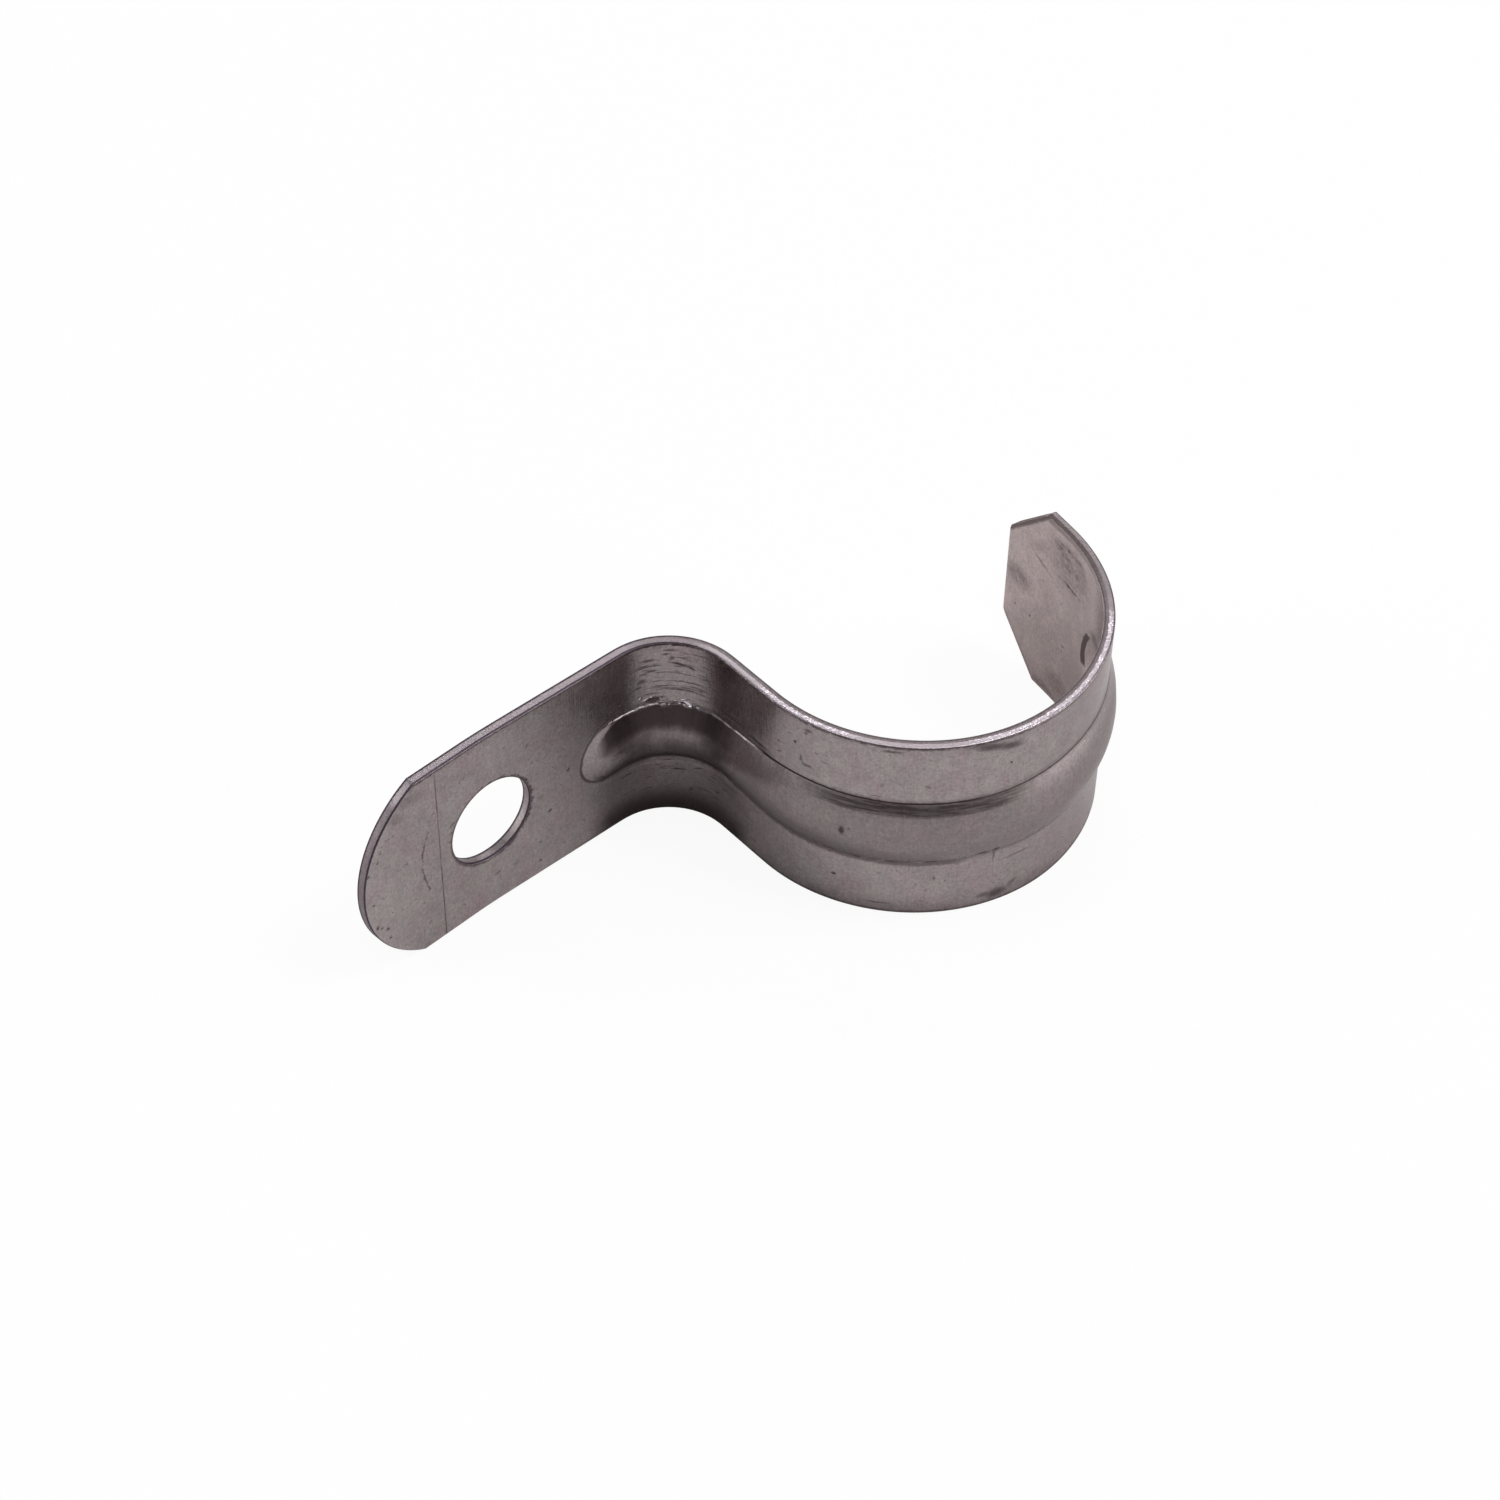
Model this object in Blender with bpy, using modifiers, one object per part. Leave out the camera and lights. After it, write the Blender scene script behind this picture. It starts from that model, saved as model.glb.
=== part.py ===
"""One-hole conduit strap, pressed from one strip of sheet steel.

The strip starts at the rounded foot that is screwed to the wall, turns out through a bend, runs up a
short neck, wraps the conduit in a push-on arch and ends in a straight lip with clipped corners.
A stiffening rib is pressed outwards along its middle, from just before the bend to the hook.

Frame: +Z runs along the conduit and the strip stands on its lower long edge, at z = 0.
The wall lies on the +Y side and the arch bulges towards -Y. The foot points towards -X.
The origin is in the middle of the part's footprint.

Places on the strip are given by run, the distance along the middle of the sheet from the tip of the
foot, and by across, the height above or below the strip's centre line.
"""

import math

import bmesh
import bpy
import numpy as np

MM = 0.001

# Sheet
STRAP_WIDTH = 18.0 * MM
SHEET_THICKNESS = 0.9 * MM
SHEARED_EDGE_BREAK = 0.1 * MM

# Foot, screwed to the wall
FOOT_LENGTH = 25.8 * MM
FOOT_END_RISE = 5.4 * MM
FOOT_CANT = math.radians(2.9)
FOOT_CANT_FROM_END = 12.0 * MM
FOOT_CANT_RADIUS = 60.0 * MM
SCREW_HOLE_DIAMETER = 7.7 * MM
SCREW_HOLE_FROM_END = 12.6 * MM
SCREW_HOLE_EDGE_ROLL = 0.15 * MM

# Bend and neck, which lead out from the wall
BEND_INSIDE_RADIUS = 5.4 * MM
BEND_ANGLE = math.radians(92.2)
NECK_LENGTH = 5.2 * MM

# Arch round the conduit: tighter beside the neck, opened towards the hook
ARCH_NEAR_RADIUS = 14.1 * MM
ARCH_NEAR_SWEEP = math.radians(99.0)
ARCH_FAR_RADIUS = 15.85 * MM
ARCH_FAR_SWEEP = math.radians(73.1)

# Straight lip of the hook, with clipped corners
LIP_LENGTH = 7.0 * MM
LIP_CORNER_LENGTH = 4.6 * MM
LIP_CORNER_HEIGHT = 4.4 * MM

# Pressed rib, raised on the outer face and hollow on the inner one
RIB_HEIGHT = 0.9 * MM
RIB_WIDTH_IN_BEND = 5.5 * MM
RIB_WIDTH_ON_ARCH = 6.4 * MM
RIB_START_BEFORE_BEND = 4.2 * MM
RIB_END_BEFORE_TIP = 11.3 * MM
RIB_FOLD_SOFTNESS = 0.2

# The corners of the lip fade out over this many times their own length
LIP_CORNER_EASE = 1.4

# Fineness of the faceted sheet
FOOT_STEP = 3.2 * MM
BEND_STEP = 0.62 * MM
ARCH_STEP = 1.3 * MM
RIB_END_STEP = 0.5 * MM
HOLE_SEGMENTS = 40
MERGE_DISTANCE = 0.01 * MM
SHEARED_EDGE_ANGLE = math.radians(60)
SHARP_SHADING_ANGLE = math.radians(25)

# Lanes run along the strip at these shares of the rib's half width, then on to the strip's edge
RIB_LANES = (0.0, 0.25, 0.45, 0.62, 0.77, 0.89, 1.0, 1.1)
CORNER_LANE = 1.3
FLANK_LANES = (0.27, 0.52, 0.73, 0.89, 1.0)

STEEL_COLOUR = (0.235, 0.22, 0.22, 1.0)
STEEL_ROUGHNESS = 0.38


def strip_segments():
    """Length and curvature of each stretch of the sheet's middle, from the foot's tip to the lip."""
    half = SHEET_THICKNESS / 2
    cant_run = FOOT_CANT_RADIUS * FOOT_CANT
    before_cant = FOOT_CANT_FROM_END - cant_run / 2
    bend_radius = BEND_INSIDE_RADIUS + half
    near_radius = ARCH_NEAR_RADIUS + half
    far_radius = ARCH_FAR_RADIUS + half
    return [
        (before_cant, 0.0),
        (cant_run, -1 / FOOT_CANT_RADIUS),
        (FOOT_LENGTH - before_cant - cant_run, 0.0),
        (bend_radius * BEND_ANGLE, -1 / bend_radius),
        (NECK_LENGTH, 0.0),
        (near_radius * ARCH_NEAR_SWEEP, 1 / near_radius),
        (far_radius * ARCH_FAR_SWEEP, 1 / far_radius),
        (LIP_LENGTH, 0.0),
    ]


def segment_ends():
    """Run at which each stretch ends, with zero in front."""
    return np.concatenate([[0.0], np.cumsum([length for length, _ in strip_segments()])])


STRIP_LENGTH = segment_ends()[-1]
BEND_START = segment_ends()[3]
BEND_END = segment_ends()[4]
ARCH_START = segment_ends()[5]
RIB_START = BEND_START - RIB_START_BEFORE_BEND
RIB_END = STRIP_LENGTH - RIB_END_BEFORE_TIP
LIP_CORNER_ACROSS = STRAP_WIDTH / 2 - LIP_CORNER_HEIGHT
FOOT_END_RADIUS = (FOOT_END_RISE**2 + (STRAP_WIDTH / 2) ** 2) / (2 * FOOT_END_RISE)
RIB_FOLD_REACH = (math.sqrt(1 + RIB_FOLD_SOFTNESS) - 1) * RIB_WIDTH_ON_ARCH / 2
PUNCH_OVERRUN = 3 * SHEET_THICKNESS


def smooth_step(low, high, value):
    """Zero below low, one above high, with an even ease between them."""
    share = np.clip((value - low) / (high - low), 0.0, 1.0)
    return share * share * (3 - 2 * share)


def walk_strip(run):
    """Point (x, y) and heading of the sheet's middle at each run, starting at the foot's tip."""
    x = np.zeros_like(run)
    y = np.zeros_like(run)
    heading = np.zeros_like(run)
    start_x, start_y, start_heading = 0.0, 0.0, FOOT_CANT
    for (length, curvature), start in zip(strip_segments(), segment_ends()):
        for_run = np.where(run >= start)
        ahead = run[for_run] - start
        if curvature == 0.0:
            x[for_run] = start_x + ahead * math.cos(start_heading)
            y[for_run] = start_y + ahead * math.sin(start_heading)
            heading[for_run] = start_heading
            start_x += length * math.cos(start_heading)
            start_y += length * math.sin(start_heading)
        else:
            turned = start_heading + curvature * ahead
            x[for_run] = start_x + (np.sin(turned) - math.sin(start_heading)) / curvature
            y[for_run] = start_y - (np.cos(turned) - math.cos(start_heading)) / curvature
            heading[for_run] = turned
            end_heading = start_heading + curvature * length
            start_x += (math.sin(end_heading) - math.sin(start_heading)) / curvature
            start_y -= (math.cos(end_heading) - math.cos(start_heading)) / curvature
            start_heading = end_heading
    return x, y, heading


def place_on_wall(run):
    """The walk moved so that the back of the foot lies on the wall plane and the bend starts at x = 0."""
    x, y, heading = walk_strip(run)
    bend_x, bend_y, _ = walk_strip(np.array([BEND_START]))
    return x - bend_x[0], y - bend_y[0] - SHEET_THICKNESS / 2, heading


def rib_half_width(run):
    """Half the rib's width, which grows from the bend to the arch."""
    growth = smooth_step(BEND_END - NECK_LENGTH / 2, ARCH_START + NECK_LENGTH, run)
    return (RIB_WIDTH_IN_BEND + growth * (RIB_WIDTH_ON_ARCH - RIB_WIDTH_IN_BEND)) / 2


def rib_rise(run, across):
    """Height of the rib: a dome over the distance from its spine, with softly folded feet.

    The spine stops half a width short of both ends, so that the ends are round.
    """
    half = rib_half_width(run)
    spine_start = RIB_START + RIB_WIDTH_IN_BEND / 2
    spine_end = RIB_END - RIB_WIDTH_ON_ARCH / 2
    beyond = np.maximum(np.maximum(spine_start - run, run - spine_end), 0.0)
    dome = 1.0 - (beyond**2 + across**2) / half**2
    fold = np.clip(dome + RIB_FOLD_SOFTNESS, 0.0, 2 * RIB_FOLD_SOFTNESS) ** 2 / (4 * RIB_FOLD_SOFTNESS)
    return RIB_HEIGHT * np.where(dome > RIB_FOLD_SOFTNESS, dome, fold)


def lane_offsets(run):
    """Distances of the lanes from the centre line, one row for each run.

    The corner lane meets the clipped corner at the lip, and the rib's lanes keep to the rib.
    """
    at_lip = smooth_step(RIB_END, STRIP_LENGTH - LIP_CORNER_LENGTH, run)
    lane_unit = rib_half_width(run) * (1 - at_lip) + LIP_CORNER_ACROSS / CORNER_LANE * at_lip
    inner = np.array(RIB_LANES + (CORNER_LANE,)) * lane_unit[:, None]
    flank = inner[:, -1:] + np.array(FLANK_LANES) * (STRAP_WIDTH / 2 - inner[:, -1:])
    half = np.concatenate([inner, flank], axis=1)
    return np.concatenate([-half[:, :0:-1], half], axis=1)


def step_at(run):
    """Longest step along the strip that its shape allows at this run."""
    if min(abs(run - RIB_START), abs(run - RIB_END)) < RIB_WIDTH_ON_ARCH / 2:
        return RIB_END_STEP
    if run < BEND_START:
        return FOOT_STEP
    if run < BEND_END:
        return BEND_STEP
    return ARCH_STEP


def strip_stations():
    """Runs at which the strip has a row of points: every change of shape, and even steps between."""
    reach = RIB_WIDTH_ON_ARCH / 2
    marks = [RIB_START - RIB_FOLD_REACH, RIB_START + reach, RIB_END - reach, RIB_END + RIB_FOLD_REACH]
    marks = np.unique(np.concatenate([segment_ends(), marks]))
    runs = [np.array([0.0])]
    for start, end in zip(marks[:-1], marks[1:]):
        count = math.ceil((end - start) / step_at((start + end) / 2))
        runs.append(np.linspace(start, end, count + 1)[1:])
    return np.concatenate(runs)


def trim_ends(run, across):
    """Runs drawn in at the ends, so that the foot ends in an arc and the lip in clipped corners."""
    foot_zone = segment_ends()[1]
    arc_inset = FOOT_END_RADIUS - np.sqrt(FOOT_END_RADIUS**2 - across**2)
    run = run + arc_inset * np.clip(1 - run / foot_zone, 0.0, 1.0)
    corner_share = np.clip((np.abs(across) - LIP_CORNER_ACROSS) / LIP_CORNER_HEIGHT, 0.0, 1.0)
    lip_zone = LIP_CORNER_LENGTH * LIP_CORNER_EASE
    into_lip = np.clip(1 - (STRIP_LENGTH - run) / lip_zone, 0.0, 1.0)
    return run - LIP_CORNER_LENGTH * corner_share * into_lip


def strap_surface():
    """Points of the sheet's middle surface on the grid of stations and lanes, and their normals."""
    stations = strip_stations()
    across = lane_offsets(stations)
    run = trim_ends(np.broadcast_to(stations[:, None], across.shape).copy(), across)
    x, y, heading = place_on_wall(run)
    normal = np.stack([np.sin(heading), -np.cos(heading), np.zeros_like(heading)], axis=-1)
    middle = np.stack([x, y, across + STRAP_WIDTH / 2], axis=-1)
    return middle + rib_rise(run, across)[..., None] * normal, normal


def steel_material():
    """Bright pressed steel."""
    material = bpy.data.materials.new("pressed_steel")
    material.use_nodes = True
    shader = material.node_tree.nodes["Principled BSDF"]
    shader.inputs["Base Color"].default_value = STEEL_COLOUR
    shader.inputs["Metallic"].default_value = 1.0
    shader.inputs["Roughness"].default_value = STEEL_ROUGHNESS
    return material


def make_collection(name):
    collection = bpy.data.collections.new(name)
    bpy.context.scene.collection.children.link(collection)
    return collection


def make_footprint_centre(points, normals, collection):
    """Empty that carries the part and puts its origin in the middle of its footprint."""
    offset = normals * SHEET_THICKNESS / 2
    faces = np.concatenate([(points + offset).reshape(-1, 3), (points - offset).reshape(-1, 3)])
    centre = (faces.min(axis=0) + faces.max(axis=0)) / 2
    empty = bpy.data.objects.new("footprint_centre", None)
    empty.location = (-centre[0], -centre[1], 0.0)
    collection.objects.link(empty)
    return empty


def make_sheet(points, collection, parent):
    """The bent and ribbed sheet: a flat blank formed to the middle surface, then thickened evenly.

    The blank has a row of points at each station and a column for each lane.
    """
    rows, columns, _ = points.shape
    blank = bmesh.new()
    bmesh.ops.create_grid(blank, x_segments=columns - 1, y_segments=rows - 1, size=STRAP_WIDTH)
    mesh = bpy.data.meshes.new("strap")
    blank.to_mesh(mesh)
    blank.free()
    mesh.vertices.foreach_set("co", points.ravel())
    mesh.update()
    strap = bpy.data.objects.new("strap", mesh)
    strap.parent = parent
    collection.objects.link(strap)

    thickness = strap.modifiers.new("sheet_thickness", 'SOLIDIFY')
    thickness.thickness = SHEET_THICKNESS
    thickness.offset = 0.0
    thickness.use_even_offset = True
    edge = strap.modifiers.new("sheared_edge", 'BEVEL')
    edge.width = SHEARED_EDGE_BREAK
    edge.segments = 1
    edge.limit_method = 'ANGLE'
    edge.angle_limit = SHEARED_EDGE_ANGLE
    return strap


def make_hole_cutter(collection, parent):
    """Turned punch for the screw hole: a straight shank that flares where the sheet's face rolls in."""
    radius = SCREW_HOLE_DIAMETER / 2
    roll = SCREW_HOLE_EDGE_ROLL
    face = SHEET_THICKNESS
    profile = [
        (0.0, face + PUNCH_OVERRUN),
        (radius + roll + PUNCH_OVERRUN, face + PUNCH_OVERRUN),
        (radius + roll, face),
        (radius, face - roll),
        (radius, -PUNCH_OVERRUN),
        (0.0, -PUNCH_OVERRUN),
    ]
    outline = bmesh.new()
    corners = [outline.verts.new((out, 0.0, height)) for out, height in profile]
    for first, second in zip(corners[:-1], corners[1:]):
        outline.edges.new((first, second))
    mesh = bpy.data.meshes.new("screw_hole_cutter")
    outline.to_mesh(mesh)
    outline.free()
    cutter = bpy.data.objects.new("screw_hole_cutter", mesh)

    turning = cutter.modifiers.new("turn_profile", 'SCREW')
    turning.axis = 'Z'
    turning.steps = HOLE_SEGMENTS
    turning.render_steps = HOLE_SEGMENTS
    turning.use_merge_vertices = True
    turning.merge_threshold = MERGE_DISTANCE

    x, y, heading = place_on_wall(np.array([SCREW_HOLE_FROM_END]))
    back_y = y[0] + SHEET_THICKNESS / 2
    cutter.location = (x[0], back_y, STRAP_WIDTH / 2)
    cutter.rotation_euler = (math.pi / 2, 0.0, heading[0])
    cutter.parent = parent
    cutter.hide_render = True
    cutter.display_type = 'WIRE'
    collection.objects.link(cutter)
    return cutter


def main():
    for old in list(bpy.data.objects):
        bpy.data.objects.remove(old, do_unlink=True)
    parts = make_collection("conduit_strap")
    cutters = make_collection("cutters")

    points, normals = strap_surface()
    centre = make_footprint_centre(points, normals, parts)
    strap = make_sheet(points, parts, centre)
    hole = strap.modifiers.new("screw_hole", 'BOOLEAN')
    hole.object = make_hole_cutter(cutters, centre)
    hole.solver = 'EXACT'

    strap.data.materials.append(steel_material())
    strap.data.shade_smooth()
    strap.data.set_sharp_from_angle(angle=SHARP_SHADING_ANGLE)


main()
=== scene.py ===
"""Conduit clamp: the finished look of a one-hole strap pressed from sheet steel.

The strap is worked out flat, as a blank, and then bent. A place on the blank has three numbers: run, the
distance along the strip from the foot's tip; across, the height above or below the strip's centre line;
and depth, the distance from the middle of the sheet, positive towards the outer face.
"""

import math

import bpy
import numpy as np
from bpy.props import FloatProperty, FloatVectorProperty, PointerProperty
from mathutils import Matrix, Vector


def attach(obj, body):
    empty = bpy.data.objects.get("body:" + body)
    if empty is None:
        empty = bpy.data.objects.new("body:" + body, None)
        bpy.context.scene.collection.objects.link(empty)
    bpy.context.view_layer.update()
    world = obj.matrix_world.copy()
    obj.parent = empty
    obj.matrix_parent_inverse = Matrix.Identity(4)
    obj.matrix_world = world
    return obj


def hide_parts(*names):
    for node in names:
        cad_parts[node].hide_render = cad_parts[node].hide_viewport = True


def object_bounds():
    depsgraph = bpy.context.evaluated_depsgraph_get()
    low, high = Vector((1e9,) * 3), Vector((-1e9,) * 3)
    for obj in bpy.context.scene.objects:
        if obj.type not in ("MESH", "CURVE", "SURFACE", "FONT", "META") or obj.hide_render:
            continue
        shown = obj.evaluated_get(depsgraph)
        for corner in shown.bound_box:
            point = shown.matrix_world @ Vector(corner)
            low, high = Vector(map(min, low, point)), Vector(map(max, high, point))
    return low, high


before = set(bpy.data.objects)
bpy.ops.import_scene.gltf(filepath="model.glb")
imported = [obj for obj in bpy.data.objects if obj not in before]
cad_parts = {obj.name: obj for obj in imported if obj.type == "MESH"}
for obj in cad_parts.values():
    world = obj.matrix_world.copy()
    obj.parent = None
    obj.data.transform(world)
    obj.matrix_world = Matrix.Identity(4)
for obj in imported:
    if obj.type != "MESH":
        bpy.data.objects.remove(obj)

bl_info = {
    "name": "Conduit clamp look",
    "version": (1, 0, 0),
    "blender": (4, 5, 0),
    "location": "View3D > Sidebar > Conduit clamp",
    "description": "Makes the pressed steel strap, its finish and a plain studio stage",
    "category": "Object",
}

MM = 0.001
CAD_LOW, CAD_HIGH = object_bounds()
CAD_STRAP = "strap"
WHITE = (1.0, 1.0, 1.0, 1.0)

# Names of what the mesh carries for its material: the place on the blank and the distance from the
# rib's fold, both in millimetres
BLANK_PLACE = "blank_place"
FROM_FOLD = "from_fold"

# Fineness of the worked surface, and how far round a fold, an edge or the bend it is finer
PATH_STEP = 0.01 * MM
SPREAD_SAMPLES = 4000
LANE_STEP = 0.34 * MM
FOLD_LANE_STEP = 0.03 * MM
EDGE_LANE_STEP = 0.16 * MM
STATION_STEP = 0.34 * MM
BEND_STATION_STEP = 0.2 * MM
FINE_PAST_BEND = 6 * MM
FINE_BY_UPPER_FOLD = 0.35 * MM
FINE_BY_LOWER_FOLD = 0.9 * MM
FINE_BY_EDGE = 0.7 * MM
LANES_FOLLOW_FOLD = 5 * MM
HOLE_RINGS = 14
HOLE_RING_CROWDING = 1.3
HOLE_BLOCK_MARGIN = 1.2 * MM
ROLL_ROWS = 5
WALL_ROWS = 5
BREAK_ROWS = 2
MOST_TRIANGLES = 190000

# Form that a user would not change. Places along the arch and the strip are runs from their starts.
CURVATURE_EASE = 0.9 * MM
BREAKAWAY = 0.02 * MM
BREAKAWAY_SHARES = (0.45, 0.75)
FOLD_SOFTNESS = 0.12
CREST_FOLD_SOFTNESS = 0.03
HOOK_FOLD_SOFTENING = 0.16
FOOT_END_ZONE = 0.7
LIP_END_ZONE = 1.4
LIP_CORNER_EASE = 0.11 * MM
BEND_FORM_PAST_NECK = 2 * MM
RIB_WIDENS_ALONG_ARCH = (17 * MM, 27 * MM)
RIB_SOFTENS_ALONG_STRIP = (74.0 * MM, 80.0 * MM)
CREST_RETURN_ON_ARCH = 0.7
RIB_SIDES_MEET = (-0.6 * MM, 0.2 * MM)
RIB_ROUNDNESS = 0.9
UPPER_SIDE_STRAIGHTENING = 0.58
LOWER_SIDE_STRAIGHTENING = 0.2
CREST_LEDGE = 0.11 * MM
CREST_LEDGE_WIDTH = 0.06 * MM
CREST_WANDER = 0.05 * MM
CREST_WANDER_STEP = 0.3 * MM
CREST_WANDER_SEED = 11
TORN_CREST_WANDER = 0.13 * MM
TORN_CREST_PLACE = 4 * MM
TORN_CREST_REACH = 3.5 * MM


def length(name, description, in_mm, precision=5):
    """Property for a length, whose default is given in millimetres."""
    return FloatProperty(
        name=name, description=description, unit='LENGTH', precision=precision, default=in_mm * MM,
    )


def angle(name, description, degrees):
    """Property for an angle, whose default is given in degrees."""
    return FloatProperty(
        name=name, description=description, subtype='ANGLE', default=math.radians(degrees),
    )


def factor(name, description, default):
    """Property for a plain factor."""
    return FloatProperty(name=name, description=description, subtype='FACTOR', default=default)


def colour(name, description, default):
    """Property for a colour."""
    return FloatVectorProperty(
        name=name, description=description, subtype='COLOR', size=3, default=default,
    )


class StrapSizes(bpy.types.PropertyGroup):
    """Sizes of the strap that a user would change."""

    width: length("Strip width", "Width of the strip", (CAD_HIGH.z - CAD_LOW.z) / MM)
    thickness: length("Sheet", "Thickness of the sheet", 0.9)
    foot_length: length("Foot", "Foot from its tip to the bend", 25.8)
    foot_end_rise: length("Foot end", "How far the foot's arc end rises", 5.4)
    foot_cant: angle("Foot cant", "Slight set of the foot's end", 2.9)
    foot_cant_from_end: length("Cant place", "Middle of the set from the tip", 12)
    foot_cant_radius: length("Cant radius", "Radius of the foot's slight set", 60)
    hole_diameter: length("Screw hole", "Diameter of the screw hole", 7.7)
    hole_from_end: length("Hole place", "Middle of the hole from the tip", 12.6)
    bend_inside_radius: length("Bend radius", "Inside radius of the bend", 5.4)
    bend_angle: angle("Bend", "Angle of the bend", 92.2)
    neck_length: length("Neck", "Straight between bend and arch", 5.2)
    arch_near_radius: length("Arch, near", "Inside radius beside the neck", 14.1)
    arch_near_sweep: angle("Arch sweep, near", "Sweep of the near arc", 99)
    arch_far_radius: length("Arch, far", "Inside radius towards the hook", 15.85)
    arch_far_sweep: angle("Arch sweep, far", "Sweep of the far arc", 73.1)
    lip_length: length("Lip", "Straight lip of the hook", 6.87)
    lip_corner_length: length("Corner length", "Clipped corner along the strip", 4.6)
    lip_corner_height: length("Corner height", "Clipped corner across the strip", 4.4)
    rib_height: length("Rib height", "How far the rib stands out", 0.86)
    rib_upper_in_bend: length("Upper fold, bend", "Rib's upper fold above the centre line in the bend", 2.7)
    rib_upper_on_arch: length(
        "Upper fold, arch", "Rib's upper fold above the centre line on the arch", 3.15,
    )
    rib_upper_at_end: length("Upper fold, end", "Rib's upper fold above the centre line near its end", 3.55)
    rib_lower_in_bend: length("Lower fold, bend", "Rib's lower fold below the centre line in the bend", 3)
    rib_lower_on_arch: length("Lower fold, arch", "Rib's lower fold below the centre line on the arch", 3.4)
    rib_crest_drop: length(
        "Crest drop", "How far the rib's crest lies below the centre line in the bend", 0.5,
    )
    rib_start_before_bend: length("Rib start", "Rib's start before the bend", 4.2)
    rib_end_before_tip: length("Rib end", "Rib's end before the lip's tip", 11.3)
    edge_roll: length("Edge roll", "Rounding of the outer face at a sheared edge", 0.16)
    edge_break: length("Edge break", "Rounding of the inner face at a sheared edge", 0.06)


class SteelFinish(bpy.types.PropertyGroup):
    """Colours and gloss of the pressed steel."""

    steel: colour("Steel", "Rolled faces", (0.332, 0.271, 0.280))
    cool_steel: colour("Cool steel", "Greener patches of the rolled faces", (0.298, 0.268, 0.264))
    inner_steel: colour("Inner steel", "Warmer rolled metal of the inner face", (0.346, 0.284, 0.277))
    grazing: colour("Grazing tint", "Share that the metal mirrors at a grazing angle", (0.77, 0.74, 0.75))
    # The burnished colour also paints the highlight along the crest and the glints on the sheared walls
    burnished: colour("Burnished steel", "Rubbed and freshly sheared metal", (0.86, 0.77, 0.85))
    # The next two colours also paint shade: in the rib's folds, on its flanks and crown, low in the bend,
    # along the edges and at the sheared walls' outer rounding
    grime_and_shade: colour("Grime", "Dark marks in folds and along edges", (0.045, 0.031, 0.030))
    edge_grime: colour("Edge grime", "Dark sheared metal", (0.052, 0.034, 0.056))
    roughness: factor("Roughness", "Roughness of the rolled faces", 0.25)
    grain_height: length("Grain height", "Height of the rolled grain", 0.002, precision=6)
    waviness: length("Waviness", "Height of the sheet's slow waves", 0.016, precision=6)


class StageLook(bpy.types.PropertyGroup):
    """Floor, light and camera."""

    floor_colour: colour("Floor", "Colour of the plain floor", (0.93, 0.93, 0.93))
    floor_size: length("Floor size", "Side of the square floor", 3000)
    light_level: factor("Light level", "Share of the lamps' usual strength", 1)
    room_light: factor("Room light", "Strength of the even room light", 0.04)
    view_azimuth: angle("View azimuth", "Turn of the camera about the vertical", -43.455)
    view_elevation: angle("View elevation", "Height of the camera as an angle", 44.737)
    view_roll: angle("View roll", "Roll of the camera", 1.3006)
    view_distance: length("View distance", "Camera to its aim", 270.68)
    view_aim: FloatVectorProperty(
        name="View aim", description="Point that the camera looks at", subtype='XYZ_LENGTH', size=3,
        precision=5, default=(0.697 * MM, 5.76 * MM, 9.0 * MM),
    )
    lens: FloatProperty(
        name="Lens", description="Focal length on a sensor 36 mm wide", unit='CAMERA', default=83.756,
    )


def smooth_step(low, high, value):
    """Zero below low, one above high, with an even ease between them."""
    share = np.clip((value - low) / (high - low), 0.0, 1.0)
    return share * share * (3 - 2 * share)


def running_sum(values, step):
    """Running integral of evenly spaced values, by the trapezoid rule."""
    return np.concatenate([[0.0], np.cumsum((values[1:] + values[:-1]) / 2 * step)])


def stretches(sizes):
    """Lengths and curvatures of the strip's stretches, from the foot's tip to the lip."""
    half = sizes.thickness / 2
    cant_run = sizes.foot_cant_radius * sizes.foot_cant
    before_cant = sizes.foot_cant_from_end - cant_run / 2
    bend = sizes.bend_inside_radius + half
    near_arc = sizes.arch_near_radius + half
    far_arc = sizes.arch_far_radius + half
    return np.array([
        (before_cant, 0.0),
        (cant_run, -1 / sizes.foot_cant_radius),
        (sizes.foot_length - before_cant - cant_run, 0.0),
        (bend * sizes.bend_angle, -1 / bend),
        (sizes.neck_length, 0.0),
        (near_arc * sizes.arch_near_sweep, 1 / near_arc),
        (far_arc * sizes.arch_far_sweep, 1 / far_arc),
        (sizes.lip_length, 0.0),
    ]).T


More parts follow.
